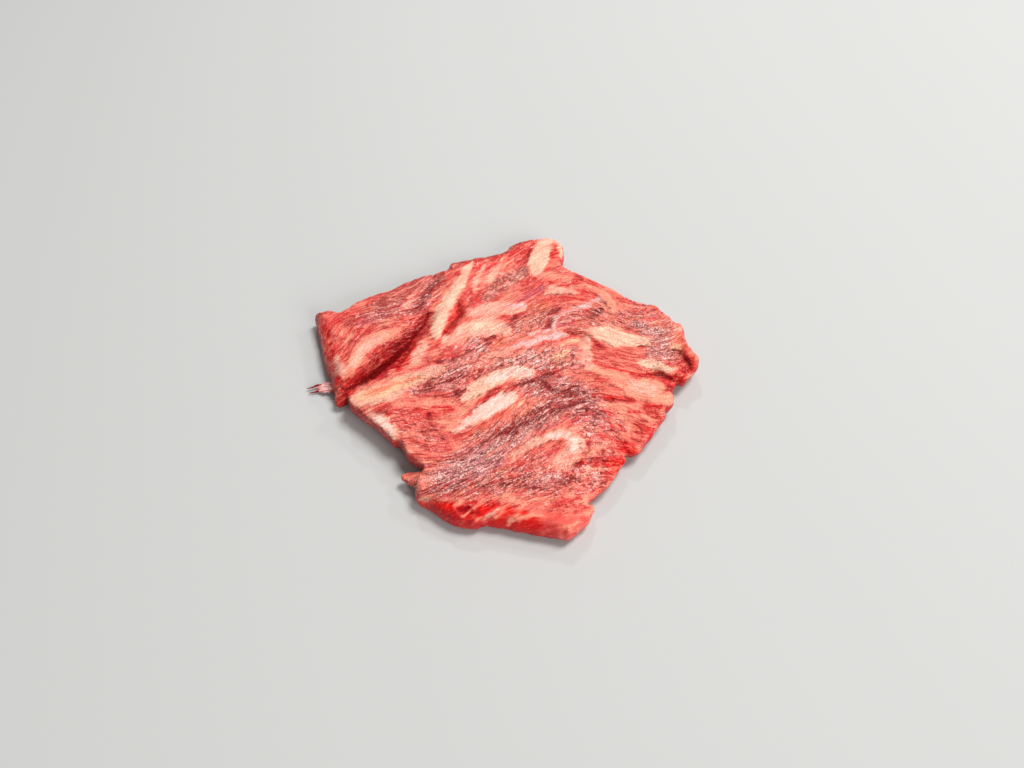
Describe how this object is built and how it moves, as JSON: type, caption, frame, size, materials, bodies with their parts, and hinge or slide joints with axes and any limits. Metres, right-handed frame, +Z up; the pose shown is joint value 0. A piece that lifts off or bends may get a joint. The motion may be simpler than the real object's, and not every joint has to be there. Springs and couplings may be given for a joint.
{
  "type": "raw skirt steak",
  "caption": "Thin raw marbled skirt steak lying flat: a loose-grained slice with a folded left side, ragged edges and a flat underside to rest on.",
  "frame": {"origin": "on the plane the steak rests on, under the middle of its outline", "axes": "+Z up out of the top, +Y towards the far tip, +X across the slice towards the thick right corner"},
  "size_m": [0.1196, 0.1132, 0.0088],
  "materials": {
    "raw_meat": "gloss, wet raw muscle marbled with pale fat"
  },
  "bodies": {
    "root": {"skirt_steak": "raw_meat"}
  },
  "joints": []
}
